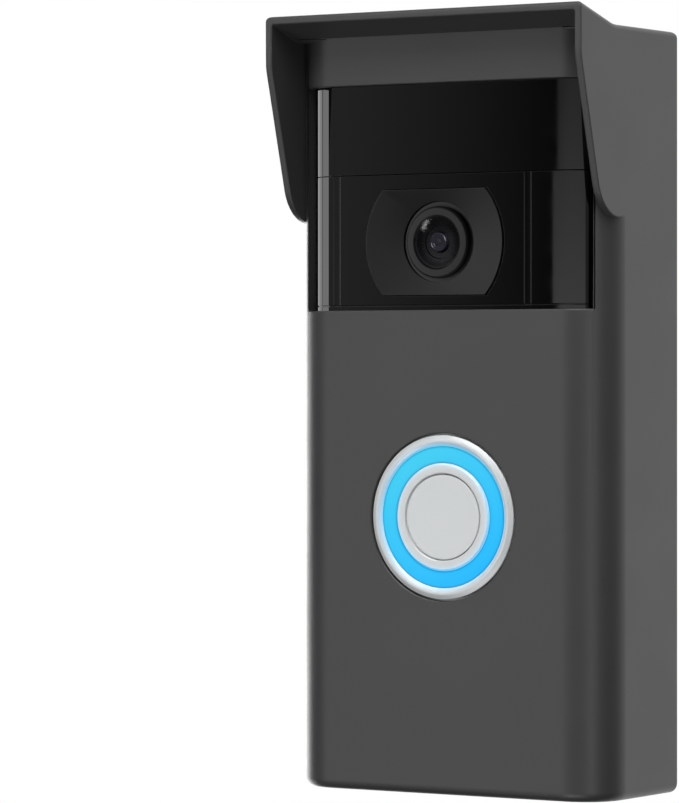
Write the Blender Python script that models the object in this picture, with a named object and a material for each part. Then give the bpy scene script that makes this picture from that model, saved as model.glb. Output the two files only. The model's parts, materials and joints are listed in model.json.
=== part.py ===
"""Battery video doorbell on its wall bracket, inside a slip-on rain hood.

Blender 4.5 script. Frame: metres, +Z up, the front faces -Y, and the origin is the centre of the
bracket's wall face. Sizes below are in millimetres and MM turns them into metres.
"""

import math

import bmesh
import bpy

MM = 0.001
GAP = 0.3  # clearance kept between pieces that meet

# Doorbell: the driving sizes
BELL_WIDTH, BELL_HEIGHT, BELL_DEPTH = 62.0, 126.5, 28.0
BELL_CORNER = 6.5
SHELL_WALL = 1.4
HEAD_SHARE = 0.353  # the black head's share of the height

# Rain hood: the driving sizes
HOOD_WIDTH, HOOD_BOX_HEIGHT, HOOD_DEPTH = 67.0, 139.4, 28.0
HOOD_CORNER = 8.7
HOOD_PANEL = 1.3
HOOD_SIDE = 2.25
HOOD_FLOOR, HOOD_ROOF = 2.0, 1.8
HOOD_REACH = 7.8  # how far the visor stands in front of the panel
HOOD_RISE = 3.5  # how far its front edge rises above the box
ROOF_START = 5.2  # how far behind the panel the roof starts to rise
VISOR_WALL = 1.4
WINDOW_INSET = 3.0
WINDOW_LOW, WINDOW_HIGH = 88.4, 129.8  # above the hood's lowest face
FLAP_LOW = 104.8

# Places shared by several pieces
BELL_FRONT = -BELL_DEPTH
HOOD_FRONT = BELL_FRONT - GAP - HOOD_PANEL
HOOD_BACK = HOOD_FRONT + HOOD_DEPTH
BELL_LOW, BELL_HIGH = -BELL_HEIGHT / 2, BELL_HEIGHT / 2
HOOD_LOW = BELL_LOW - 5.0
HOOD_HIGH = HOOD_LOW + HOOD_BOX_HEIGHT
HEAD_SEAM = BELL_HIGH - HEAD_SHARE * BELL_HEIGHT
CAP_SEAM = HOOD_LOW + 113.3
SHELL_BACK = -6.1
HOUSING_BACK = -2.6
HOUSING_FLOOR = HOUSING_BACK - 2.0
SKIRT_WIDTH, SKIRT_HEIGHT, SKIRT_CORNER = 58.6, 123.0, 5.0
SKIRT_WALL = 1.6
PARTING = -14.0  # front edge of the rear housing's wall
BOARD_FRONT, BOARD_BACK = -16.7, -15.5

BUTTON_X, BUTTON_Z = 0.0, HOOD_LOW + 50.65
BEZEL_RADIUS, GLOW_OUTER, GLOW_INNER, CAP_RADIUS = 15.0, 13.0, 9.85, 7.8
BUTTON_TRAVEL = 0.6
LENS_X, LENS_Z = -2.5, HOOD_LOW + 100.8
LENS_PLATE_RADIUS, LENS_PLATE_HEIGHT = 14.6, 19.4

SCREW_X, SCREW_Z = 24.0, 56.2
HOOK_X, HOOK_Z, HOOK_WIDTH = 19.5, 34.0, 6.0
HOOK_NECK, HOOK_RISE = 2.0, 6.0  # height of the hook's neck and of the whole hook
LIFT_TRAVEL = 4.5  # lifts the doorbell off its hooks
TAB_Z, TAB_WIDTH = -53.9, 28.0
SECURITY_X, SECURITY_Y = 9.0, -8.4
TERMINAL_X, TERMINAL_Z = 7.0, 39.0
PORT_X, PORT_Z = 0.0, 52.0
SETUP_X, SETUP_Z = 11.0, 52.0
SPEAKER_X, SPEAKER_Z = 0.0, -48.0
MIC_X, MIC_Z = 18.0, -34.0

AXES = {"X": (1, 2, 0), "Y": (0, 2, 1), "Z": (0, 1, 2)}


# ---------------------------------------------------------------- scene, bodies and materials

def clear_scene():
    for thing in list(bpy.data.objects):
        bpy.data.objects.remove(thing, do_unlink=True)


def body(name, at=(0.0, 0.0, 0.0)):
    """An empty that carries the pieces that move together, placed on their joint's axis."""
    empty = bpy.data.objects.new(name, None)
    empty.empty_display_size = 0.01
    empty.location = [v * MM for v in at]
    bpy.context.scene.collection.objects.link(empty)
    return empty


def finish_of(name, colour, roughness, metallic=0.0, glow=None):
    made = bpy.data.materials.new(name)
    made.use_nodes = True
    shader = made.node_tree.nodes["Principled BSDF"]
    shader.inputs["Base Color"].default_value = (*colour, 1.0)
    shader.inputs["Roughness"].default_value = roughness
    shader.inputs["Metallic"].default_value = metallic
    if glow:
        shader.inputs["Emission Color"].default_value = (*glow, 1.0)
        shader.inputs["Emission Strength"].default_value = 1.0
    return made


# ---------------------------------------------------------------- outlines, in millimetres

def arc(centre, radius, start, end, steps):
    """Points of an arc, with both ends, angles in degrees."""
    points = []
    for i in range(steps + 1):
        angle = math.radians(start + (end - start) * i / steps)
        points.append((centre[0] + radius * math.cos(angle), centre[1] + radius * math.sin(angle)))
    return points


def circle(radius, centre=(0.0, 0.0), steps=32):
    return arc(centre, radius, 0, 360 * (steps - 1) / steps, steps - 1)


def rectangle(low_a, high_a, low_b, high_b):
    return [(low_a, low_b), (high_a, low_b), (high_a, high_b), (low_a, high_b)]


def rounded(width, height, radius, centre=(0.0, 0.0), steps=6):
    """A rectangle with round corners."""
    outline = []
    a, b = width / 2 - radius, height / 2 - radius
    for side_a, side_b, start in ((1, 1, 0), (-1, 1, 90), (-1, -1, 180), (1, -1, 270)):
        corner = (centre[0] + side_a * a, centre[1] + side_b * b)
        outline += arc(corner, radius, start, start + 90, steps)
    return outline


def u_section(width, front, back, radius, steps=9):
    """Plan of a shell: round corners at the front, square at the back."""
    half = width / 2
    outline = [(half, back), (-half, back)]
    outline += arc((-half + radius, front + radius), radius, 180, 270, steps)
    outline += arc((half - radius, front + radius), radius, 270, 360, steps)
    return outline


def lens_plate_outline(grow=0.0):
    """A disc with its top and bottom cut straight."""
    radius, half = LENS_PLATE_RADIUS + grow, LENS_PLATE_HEIGHT / 2 + grow
    reach = math.degrees(math.asin(half / radius))
    return (arc((LENS_X, LENS_Z), radius, -reach, reach, 10)
            + arc((LENS_X, LENS_Z), radius, 180 - reach, 180 + reach, 10))


# ---------------------------------------------------------------- solids

def mesh_object(name, mesh_maker):
    """An object whose mesh is filled by mesh_maker(bm), in metres, with its faces pointing out."""
    bm = bmesh.new()
    mesh_maker(bm)
    bmesh.ops.recalc_face_normals(bm, faces=bm.faces)
    mesh = bpy.data.meshes.new(name)
    bm.to_mesh(mesh)
    bm.free()
    made = bpy.data.objects.new(name, mesh)
    bpy.context.scene.collection.objects.link(made)
    return made


def prism(name, axis, outline, low, high, at=(0.0, 0.0)):
    """An outline drawn across the axis and extruded along it from low to high.

    The object's origin is at the point `at` of the outline's plane, half-way between low and high.
    """
    first, second, along = AXES[axis]
    middle = (low + high) / 2

    def fill(bm):
        rings = []
        for level in (low, high):
            ring = []
            for a, b in outline:
                spot = [0.0, 0.0, 0.0]
                spot[first] = (a - at[0]) * MM
                spot[second] = (b - at[1]) * MM
                spot[along] = (level - middle) * MM
                ring.append(bm.verts.new(spot))
            rings.append(ring)
        bottom, top = rings
        bm.faces.new(bottom)
        bm.faces.new(top)
        for i in range(len(outline)):
            j = (i + 1) % len(outline)
            bm.faces.new((bottom[i], bottom[j], top[j], top[i]))

    made = mesh_object(name, fill)
    centre = [0.0, 0.0, 0.0]
    centre[first], centre[second], centre[along] = at[0] * MM, at[1] * MM, middle * MM
    made.location = centre
    return made


def box(name, low, high):
    """A block between two corners."""
    outline = rectangle(low[0], high[0], low[1], high[1])
    middle = ((low[0] + high[0]) / 2, (low[1] + high[1]) / 2)
    return prism(name, "Z", outline, low[2], high[2], at=middle)


def turned(name, axis, profile, at, steps=32):
    """A profile of (radius, place along the axis) pairs spun round the axis through `at`.

    A profile that starts and ends at radius 0 makes a solid, any other a ring.
    """
    first, second, along = AXES[axis]
    solid = profile[0][0] == 0 and profile[-1][0] == 0

    def fill(bm):
        points = []
        for radius, level in profile:
            spot = [0.0, 0.0, 0.0]
            spot[first], spot[along] = radius * MM, (level - at[along]) * MM
            points.append(bm.verts.new(spot))
        edges = [bm.edges.new(pair) for pair in zip(points, points[1:])]
        if not solid:
            edges.append(bm.edges.new((points[-1], points[0])))
        turn = [0.0, 0.0, 0.0]
        turn[along] = 1.0
        bmesh.ops.spin(bm, geom=points + edges, cent=(0, 0, 0), axis=turn,
                       angle=2 * math.pi, steps=steps)
        bmesh.ops.remove_doubles(bm, verts=bm.verts, dist=1e-6)

    made = mesh_object(name, fill)
    made.location = [v * MM for v in at]
    made.data.shade_smooth()
    made.data.set_sharp_from_angle(angle=math.radians(35))
    return made


def pin(name, axis, radius, low, high, at, steps=24):
    """A plain cylinder along the axis through the point `at`."""
    return turned(name, axis, [(0, low), (radius, low), (radius, high), (0, high)], at, steps)


def tube(name, axis, inner, outer, low, high, at, steps=32):
    profile = [(inner, low), (outer, low), (outer, high), (inner, high)]
    return turned(name, axis, profile, at, steps)


def combine(target, operation, helpers):
    for helper in helpers:
        helper.hide_render = True
        helper.display_type = "WIRE"
        step = target.modifiers.new(helper.name, "BOOLEAN")
        step.operation = operation
        step.object = helper
    return target


def cut(target, *helpers):
    return combine(target, "DIFFERENCE", helpers)


def join(target, *helpers):
    return combine(target, "UNION", helpers)


def attach(carrier, finish, *pieces):
    """Hangs each piece, with the helpers that shape it, on its body and gives it its material."""
    for piece in pieces:
        piece.data.materials.append(finish)
        shaping = [step.object for step in piece.modifiers if step.type == "BOOLEAN"]
        for thing in [piece, *shaping]:
            thing.parent = carrier
            thing.location = thing.location - carrier.location


# ---------------------------------------------------------------- rain hood

def hood_height(above_bottom):
    return HOOD_LOW + above_bottom


def visor_roof():
    """The sloping roof, drawn in side view as (y, z)."""
    underside_drop = 1.35
    outline = [
        (HOOD_FRONT - HOOD_REACH, HOOD_HIGH + HOOD_RISE),
        (HOOD_FRONT - HOOD_REACH, HOOD_HIGH + HOOD_RISE - underside_drop),
        (HOOD_FRONT, HOOD_HIGH - 0.5),
        (HOOD_FRONT + 1.0, HOOD_HIGH - 1.0),
        (HOOD_FRONT + 8.0, HOOD_HIGH - 1.0),
        (HOOD_FRONT + ROOF_START, HOOD_HIGH),
    ]
    return prism("hood_roof_shape", "X", outline, -HOOD_WIDTH / 2, HOOD_WIDTH / 2)


def visor_flap(name, outer_x, inner_x):
    """A side flap: its front edge drops straight, tapers back and rounds into the side wall."""
    front = HOOD_FRONT - HOOD_REACH
    foot_radius = 8.0
    foot_centre = (HOOD_FRONT + 6.2, hood_height(FLAP_LOW) + foot_radius)
    taper_top = hood_height(132.6)
    outline = [(HOOD_FRONT + 12.0, hood_height(FLAP_LOW + 1.0))]
    outline += arc(foot_centre, foot_radius, 270, 196, 8)
    outline += [
        (front + 0.6, taper_top - 1.6),
        (front + 0.1, taper_top + 0.8),
        (front, taper_top + 3.0),
        (front, HOOD_HIGH + HOOD_RISE),
        (HOOD_FRONT + ROOF_START, HOOD_HIGH),
        (HOOD_FRONT + 12.0, HOOD_HIGH - 1.0),
    ]
    return prism(name, "X", outline, min(outer_x, inner_x), max(outer_x, inner_x))


def make_rain_hood():
    half = HOOD_WIDTH / 2
    plan = u_section(HOOD_WIDTH, HOOD_FRONT, HOOD_BACK, HOOD_CORNER, steps=12)
    hood = prism("rain_hood", "Z", plan, HOOD_LOW, HOOD_HIGH)
    join(hood,
         visor_roof(),
         visor_flap("hood_flap_left_shape", -half, -half + VISOR_WALL),
         visor_flap("hood_flap_right_shape", half, half - VISOR_WALL))
    inner_width = HOOD_WIDTH - 2 * HOOD_SIDE
    inside = u_section(inner_width, HOOD_FRONT + HOOD_PANEL, HOOD_BACK + 1.0,
                       BELL_CORNER + 0.25, steps=9)
    half_window = half - WINDOW_INSET
    cut(hood,
        prism("hood_inside_cut", "Z", inside, HOOD_LOW + HOOD_FLOOR,
              HOOD_HIGH - HOOD_ROOF),
        box("hood_window_cut", (-half_window, HOOD_FRONT - 1.0, hood_height(WINDOW_LOW)),
            (half_window, HOOD_FRONT + 12.0, hood_height(WINDOW_HIGH))),
        pin("hood_button_cut", "Y", BEZEL_RADIUS + 0.25, HOOD_FRONT - 1.0, HOOD_FRONT + 4.0,
            (BUTTON_X, HOOD_FRONT, BUTTON_Z), steps=48))
    # ribs that the doorbell stands on
    half_rib = 1.0
    ribs = []
    for number, x in enumerate((-20.0, 0.0, 20.0), start=1):
        ribs.append(box(f"hood_rib_{number}_shape",
                        (x - half_rib, HOOD_FRONT + 6.0, HOOD_LOW + HOOD_FLOOR / 2),
                        (x + half_rib, HOOD_BACK - 4.0, BELL_LOW - GAP)))
    return join(hood, *ribs)


# ---------------------------------------------------------------- outer shells

def shell(name, low, high, floor=None, roof=None):
    """A wrap-round shell piece, open at the back, with a floor or a roof of that thickness."""
    outer = u_section(BELL_WIDTH, BELL_FRONT, SHELL_BACK, BELL_CORNER)
    inner = u_section(BELL_WIDTH - 2 * SHELL_WALL, BELL_FRONT + SHELL_WALL, SHELL_BACK + 1.0,
                      BELL_CORNER - SHELL_WALL)
    piece = prism(name, "Z", outer, low, high)
    inner_low = low + floor if floor else low - 1.0
    inner_high = high - roof if roof else high + 1.0
    return cut(piece, prism(f"{name}_inside_cut", "Z", inner, inner_low, inner_high))


def make_faceplate():
    plate = shell("faceplate", BELL_LOW, HEAD_SEAM - GAP / 2, floor=SHELL_WALL)
    cut(plate, pin("faceplate_button_cut", "Y", 14.2, BELL_FRONT - 1.0, BELL_FRONT + 3.0,
                   (BUTTON_X, BELL_FRONT, BUTTON_Z), steps=40))
    for side, x in (("left", -SECURITY_X), ("right", SECURITY_X)):
        cut(plate, pin(f"faceplate_{side}_screw_cut", "Z", 2.6, BELL_LOW - 1.0, BELL_LOW + 3.0,
                       (x, SECURITY_Y, BELL_LOW)))
    slot = rectangle(-10.0, 10.0, -25.0, -23.6)
    return cut(plate, prism("faceplate_sound_cut", "Z", slot, BELL_LOW - 1.0, BELL_LOW + 3.0))


def make_upper_cap():
    return shell("upper_cap", CAP_SEAM + GAP / 2, BELL_HIGH, roof=SHELL_WALL)


def make_camera_fascia():
    fascia = shell("camera_fascia", HEAD_SEAM + GAP / 2, CAP_SEAM - GAP / 2)
    return cut(fascia, prism("fascia_lens_cut", "Y", lens_plate_outline(0.25),
                             BELL_FRONT - 1.0, BELL_FRONT + 3.0))


# ---------------------------------------------------------------- camera

def make_lens_plate():
    plate = prism("lens_plate", "Y", lens_plate_outline(), BELL_FRONT - 0.6, BELL_FRONT + 1.9)
    return cut(plate, pin("lens_plate_bore_cut", "Y", 7.5, BELL_FRONT - 2.0, BELL_FRONT + 4.0,
                          (LENS_X, BELL_FRONT, LENS_Z), steps=40))


def make_camera_pieces():
    centre = (LENS_X, BELL_FRONT, LENS_Z)
    front = BELL_FRONT
    ring = turned("lens_ring", "Y", [(5.35, front + 0.3), (7.2, front + 0.4), (7.2, front + 1.4),
                                     (6.5, front + 1.4), (5.35, front + 0.9)], centre, 40)
    glass = turned("camera_glass", "Y", [(0, front - 0.3), (2.6, front - 0.17),
                                         (5.05, front + 0.25), (5.05, front + 0.6),
                                         (0, front + 0.6)], centre, 32)
    barrel = turned("lens_barrel", "Y", [(3.8, front + 1.0), (5.0, front + 1.0),
                                         (5.0, front + 4.0), (6.4, front + 4.0),
                                         (6.4, front + 4.8), (3.8, front + 4.8)], centre, 28)
    lens = turned("lens_element", "Y", [(0, front + 0.9), (1.8, front + 1.15),
                                        (3.5, front + 2.1), (3.5, front + 2.8),
                                        (0, front + 2.8)], centre, 28)
    x, z = LENS_X, LENS_Z
    sensor = box("image_sensor", (x - 3.2, front + 5.1, z - 3.2), (x + 3.2, front + 5.8, z + 3.2))
    board = box("camera_board", (x - 12.0, front + 6.1, z - 9.0), (x + 12.0, front + 7.1, z + 9.0))
    return ring, glass, barrel, lens, sensor, board


def make_motion_sensing():
    """What sits behind the smoked upper cap: two heat sensors, four infrared lamps, their board."""
    z = 53.0
    board = box("sensor_board", (-24.5, -22.6, z - 5.2), (24.5, -21.6, z + 4.8))
    lens = box("motion_lens", (-25.0, -26.3, z - 5.0), (25.0, -25.7, z + 5.0))
    cans = []
    for side, x in (("left", -19.0), ("right", 19.0)):
        cans.append(turned(f"motion_sensor_{side}", "Y",
                           [(0, -25.2), (3.9, -25.2), (3.9, -23.4), (4.6, -23.4), (4.6, -22.9),
                            (0, -22.9)], (x, -24.0, z), 24))
    lamps = []
    for number, x in enumerate((-10.5, -3.5, 3.5, 10.5), start=1):
        lamps.append(turned(f"infrared_led_{number}", "Y",
                            [(0, -25.4), (0.9, -25.1), (1.4, -24.3), (1.4, -23.3), (1.8, -23.3),
                             (1.8, -22.9), (0, -22.9)], (x, -24.0, z), 16))
    return board, lens, cans, lamps


# ---------------------------------------------------------------- button

def make_button_pieces():
    centre = (BUTTON_X, BELL_FRONT, BUTTON_Z)
    front = BELL_FRONT - 1.6
    board_face = -21.9
    bezel = turned("button_bezel", "Y",
                   [(GLOW_OUTER + 0.1, front), (BEZEL_RADIUS - 0.9, front - 0.1),
                    (BEZEL_RADIUS - 0.2, front + 0.25), (BEZEL_RADIUS, front + 0.8),
                    (BEZEL_RADIUS, BELL_FRONT - GAP), (13.9, BELL_FRONT - GAP),
                    (13.9, board_face - GAP), (GLOW_OUTER + 0.1, board_face - GAP)], centre, 56)
    glow = tube("light_ring", "Y", GLOW_INNER, GLOW_OUTER, front + 0.1, board_face - 1.3,
                centre, 56)
    surround = turned("button_surround", "Y",
                      [(CAP_RADIUS + 0.15, front + 0.15), (CAP_RADIUS + 0.5, front),
                       (GLOW_INNER - 0.1, front), (GLOW_INNER - 0.1, board_face - GAP),
                       (9.0, board_face - GAP), (9.0, front + 4.0),
                       (CAP_RADIUS + 0.15, front + 4.0)], centre, 48)
    cap = turned("button_cap", "Y",
                 [(0, front + 0.35), (CAP_RADIUS - 0.6, front + 0.3), (CAP_RADIUS, front + 0.6),
                  (CAP_RADIUS, front + 4.3), (8.6, front + 4.3), (8.6, front + 5.0),
                  (1.6, front + 5.0), (1.6, front + 5.3), (0, front + 5.3)], centre, 48)
    switch_top = front + 5.3 + BUTTON_TRAVEL + 0.1
    switch = box("button_switch", (-3.0, switch_top + 0.4, BUTTON_Z - 3.0),
                 (3.0, board_face - GAP, BUTTON_Z + 3.0))
    join(switch, pin("button_switch_plunger_shape", "Y", 1.7, switch_top, switch_top + 0.9,
                     centre, 20))
    board = pin("ring_light_board", "Y", 15.6, board_face, board_face + 1.2, centre, 40)
    lamps, half_lamp = 8, 0.9
    lamp_circle = (GLOW_INNER + GLOW_OUTER) / 2
    for number in range(lamps):
        angle = 2 * math.pi * (number + 0.5) / lamps
        x = BUTTON_X + lamp_circle * math.cos(angle)
        z = BUTTON_Z + lamp_circle * math.sin(angle)
        join(board, box(f"ring_led_{number + 1}_shape",
                        (x - half_lamp, board_face - half_lamp, z - half_lamp),
                        (x + half_lamp, board_face + 0.4, z + half_lamp)))
    return bezel, glow, surround, cap, switch, board


# ---------------------------------------------------------------- sealed core

def corner_spots():
    for z_name, z in (("lower", -SCREW_Z), ("upper", SCREW_Z)):
        for x_name, x in (("left", -SCREW_X), ("right", SCREW_X)):
            yield f"{z_name}_{x_name}", x, z


def make_front_housing():
    front, back = -20.3, PARTING - 1.6
    outline = rounded(SKIRT_WIDTH, SKIRT_HEIGHT, SKIRT_CORNER)
    inner = rounded(SKIRT_WIDTH - 2 * SKIRT_WALL, SKIRT_HEIGHT - 2 * SKIRT_WALL,
                    SKIRT_CORNER - SKIRT_WALL)
    housing = prism("front_housing", "Y", outline, front, back)
    cut(housing, prism("front_housing_inside_cut", "Y", inner, front + 1.3, back + 1.0))
    for spot, x, z in corner_spots():
        join(housing, pin(f"front_boss_{spot}_shape", "Y", 3.2, front + 0.5, back + 0.2,
                          (x, back, z), 20))
    for spot, x, z in corner_spots():
        cut(housing, pin(f"front_boss_{spot}_cut", "Y", 1.3, front + 1.5, back + 2.0,
                         (x, back, z), 16))
    for number, (x, z) in enumerate([(0, 0), (5, 0), (-5, 0), (0, 5), (0, -5)], start=1):
        cut(housing, pin(f"speaker_hole_{number}_cut", "Y", 1.2, front - 1.0, front + 3.0,
                         (SPEAKER_X + x, front, SPEAKER_Z + z), 12))
    cut(housing,
        pin("microphone_hole_cut", "Y", 1.7, front - 1.0, front + 3.0, (MIC_X, front, MIC_Z), 16),
        box("camera_cable_cut", (-7.0, front - 1.0, 17.5), (4.0, front + 3.0, 19.5)),
        box("ring_cable_cut", (-4.0, front - 1.0, 2.0), (4.0, front + 3.0, 4.0)))
    return housing


def make_gasket():
    outer = rounded(SKIRT_WIDTH - 0.4, SKIRT_HEIGHT - 0.4, SKIRT_CORNER - 0.2)
    inner = rounded(SKIRT_WIDTH - 3.0, SKIRT_HEIGHT - 3.0, SKIRT_CORNER - 1.5)
    gasket = prism("housing_gasket", "Y", outer, PARTING - 1.3, PARTING - GAP)
    return cut(gasket, prism("gasket_inside_cut", "Y", inner, PARTING - 3.0, PARTING + 1.0))


def make_rear_housing():
    rim = rounded(BELL_WIDTH, BELL_HEIGHT, BELL_CORNER)
    wall = rounded(SKIRT_WIDTH, SKIRT_HEIGHT, SKIRT_CORNER)
    inner = rounded(SKIRT_WIDTH - 2 * SKIRT_WALL, SKIRT_HEIGHT - 2 * SKIRT_WALL,
                    SKIRT_CORNER - SKIRT_WALL)
    floor, back = HOUSING_FLOOR, HOUSING_BACK
    housing = prism("rear_housing", "Y", rim, SHELL_BACK + GAP, back)
    join(housing, prism("rear_wall_shape", "Y", wall, PARTING, back - 0.5))
    cut(housing, prism("rear_inside_cut", "Y", inner, PARTING - 1.0, floor))
    # blocks that close off the pockets from the sealed inside
    pocket_low = HOOK_Z - LIFT_TRAVEL - 0.1
    pocket_high = HOOK_Z + HOOK_RISE + 0.6
    pocket_half = HOOK_WIDTH / 2 + GAP
    block_half, block_wall = pocket_half + 0.8, 1.2
    for side, x in (("left", -HOOK_X), ("right", HOOK_X)):
        join(housing, box(f"hook_block_{side}_shape",
                          (x - block_half, -8.3, pocket_low - block_wall),
                          (x + block_half, floor + 0.5, pocket_high + block_wall)))
    join(housing,
         box("tab_block_shape", (-16.2, -12.6, -61.0), (16.2, floor + 0.5, -50.3)),
         box("terminal_block_shape", (-12.0, -7.6, TERMINAL_Z - 6.0),
             (12.0, floor + 0.5, TERMINAL_Z + 6.0)))
    for spot, x, z in corner_spots():
        join(housing, pin(f"rear_boss_{spot}_shape", "Y", 3.3, PARTING + 0.1, floor + 0.5,
                          (x, floor, z), 20))
    # pockets and holes, cut from the back
    for side, x in (("left", -HOOK_X), ("right", HOOK_X)):
        cut(housing,
            box(f"hook_mouth_{side}_cut", (x - pocket_half, floor - 0.1, pocket_low),
                (x + pocket_half, back + 1.0, HOOK_Z + HOOK_NECK + GAP)),
            box(f"hook_pocket_{side}_cut", (x - pocket_half, -7.2, pocket_low),
                (x + pocket_half, floor, pocket_high)))
    cut(housing,
        box("tab_pocket_cut", (-15.0, -11.4, -59.9), (15.0, back + 1.0, -51.6)),
        box("terminal_recess_cut", (-11.0, -6.4, TERMINAL_Z - 5.0),
            (11.0, back + 1.0, TERMINAL_Z + 5.0)),
        box("port_hole_cut", (PORT_X - 4.8, floor - 1.0, PORT_Z - 2.1),
            (PORT_X + 4.8, back + 1.0, PORT_Z + 2.1)),
        pin("setup_hole_cut", "Y", 2.05, floor - 1.0, back + 1.0, (SETUP_X, back, SETUP_Z), 20))
    for side, x in (("left", -1), ("right", 1)):
        cut(housing,
            pin(f"terminal_{side}_cut", "Y", 1.9, -9.0, -5.0,
                (x * TERMINAL_X, -6.0, TERMINAL_Z), 16),
            pin(f"security_{side}_cut", "Z", 1.6, -63.0, -59.0,
                (x * SECURITY_X, SECURITY_Y, -61.0), 16))
    for spot, x, z in corner_spots():
        cut(housing,
            pin(f"rear_screw_{spot}_cut", "Y", 1.4, PARTING - 1.0, back + 1.0, (x, back, z), 16),
            pin(f"rear_head_{spot}_cut", "Y", 2.5, -5.4, back + 1.0, (x, back, z), 20))
    return housing


def make_housing_screws():
    screws = []
    for spot, x, z in corner_spots():
        profile = [(0, -18.2), (1.0, -18.2), (1.0, -5.1), (2.1, -5.1), (2.1, -4.1), (1.7, -3.7),
                   (0, -3.7)]
        screw = turned(f"housing_screw_{spot}", "Y", profile, (x, -10.0, z), 20)
        screws.append(cut(screw, pin(f"housing_screw_{spot}_drive_cut", "Y", 0.8, -4.4, -3.0,
                                     (x, -4.0, z), 6)))
    return screws


# ---------------------------------------------------------------- electronics

def make_main_board():
    outline = [(-26.0, -38.0), (26.0, -38.0), (26.0, 49.0), (19.0, 51.0), (19.0, 58.0),
               (-19.0, 58.0), (-19.0, 51.0), (-26.0, 49.0)]
    board = prism("main_board", "Y", outline, BOARD_FRONT, BOARD_BACK)
    chips = [  # name, centre x and z, half width, half height, how far it stands off the board
        ("processor", -2.0, 38.0, 5.0, 5.0, 1.0),
        ("memory", 12.0, 38.0, 4.5, 4.0, 0.9),
        ("power_chip", 12.0, -6.0, 3.0, 3.0, 0.8),
        ("coil", 19.0, -18.0, 3.5, 3.5, 1.6),
        ("camera_socket", -18.0, 24.0, 1.5, 5.0, 1.2),
        ("ring_socket", 17.0, 12.0, 1.5, 4.0, 1.2),
    ]
    for name, x, z, half_x, half_z, height in chips:
        join(board, box(f"{name}_shape", (x - half_x, BOARD_FRONT - height, z - half_z),
                        (x + half_x, BOARD_FRONT + 0.5, z + half_z)))
    return board


def make_speaker():
    centre = (SPEAKER_X, -15.0, SPEAKER_Z)
    speaker = turned("speaker", "Y",
                     [(0, -17.2), (2.4, -17.3), (4.6, -16.9), (6.0, -17.4), (7.4, -17.4),
                      (8.5, -17.6), (8.5, -14.4), (6.2, -14.0), (6.2, -13.1), (0, -13.1)],
                     centre, 32)
    gasket = tube("speaker_gasket", "Y", 6.8, 8.3, -18.7, -17.9, centre, 32)
    return speaker, gasket


def make_board_level_pieces():
    shield = box("radio_shield", (-22.0, -18.3, -4.0), (-6.0, -17.0, 12.0))
    antenna = box("wifi_antenna", (-17.0, -17.6, 53.5), (-4.0, -17.0, 57.0))
    microphone = box("microphone", (MIC_X - 2.0, -18.0, MIC_Z - 1.5),
                     (MIC_X + 2.0, -17.0, MIC_Z + 1.5))
    boot = turned("microphone_boot", "Y",
                  [(0.5, -21.0), (1.4, -21.0), (1.4, -18.3), (0.5, -18.3)],
                  (MIC_X, -20.0, MIC_Z), 16)
    return shield, antenna, microphone, boot


def make_battery():
    return prism("battery_pack", "Y", rounded(39.0, 60.0, 3.0, (0.0, -4.0)), -15.0, -6.0,
                 at=(0.0, -4.0))


def make_back_interfaces():
    """Charging port, set-up button and wire terminals on the back, and what they stand on."""
    shell_outline = rounded(8.4, 3.2, 1.2, (PORT_X, PORT_Z))
    port = prism("charging_port", "Y", shell_outline, -10.7, -3.2, at=(PORT_X, PORT_Z))
    tongue = rounded(7.6, 2.4, 0.9, (PORT_X, PORT_Z))
    cut(port, prism("port_mouth_cut", "Y", tongue, -8.5, -2.0))
    join(port, box("port_tongue_shape", (PORT_X - 3.0, -9.0, PORT_Z - 0.35),
                   (PORT_X + 3.0, -4.0, PORT_Z + 0.35)))
    board = box("charging_board", (PORT_X - 8.0, -12.2, PORT_Z - 4.5),
                (SETUP_X + 5.0, -11.1, PORT_Z + 4.5))
    button = turned("setup_button", "Y",
                    [(0, -5.8), (2.6, -5.8), (2.6, -5.0), (1.75, -5.0), (1.75, -3.1), (1.4, -2.9),
                     (0, -2.9)], (SETUP_X, -4.0, SETUP_Z), 24)
    switch = box("setup_switch", (SETUP_X - 2.5, -10.8, SETUP_Z - 2.5),
                 (SETUP_X + 2.5, -6.9, SETUP_Z + 2.5))
    join(switch, pin("setup_plunger_shape", "Y", 1.0, -8.0, -6.45, (SETUP_X, -7.0, SETUP_Z), 16))
    block = box("terminal_block", (-11.5, -12.4, TERMINAL_Z - 4.5),
                (11.5, -7.9, TERMINAL_Z + 4.5))
    screws = []
    for side, x in (("left", -TERMINAL_X), ("right", TERMINAL_X)):
        cut(block, pin(f"terminal_block_{side}_cut", "Y", 1.9, -11.4, -7.0,
                       (x, -8.0, TERMINAL_Z), 16))
        screw = turned(f"terminal_screw_{side}", "Y",
                       [(0, -11.0), (1.5, -11.0), (1.5, -6.1), (3.0, -6.1), (3.0, -4.9),
                        (2.6, -4.5), (0, -4.5)], (x, -6.0, TERMINAL_Z), 24)
        screws.append(cut(screw, box(f"terminal_screw_{side}_slot_cut", (x - 4.0, -5.2,
                                     TERMINAL_Z - 0.4), (x + 4.0, -4.0, TERMINAL_Z + 0.4))))
    return port, board, button, switch, block, screws


# ---------------------------------------------------------------- wall bracket

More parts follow.
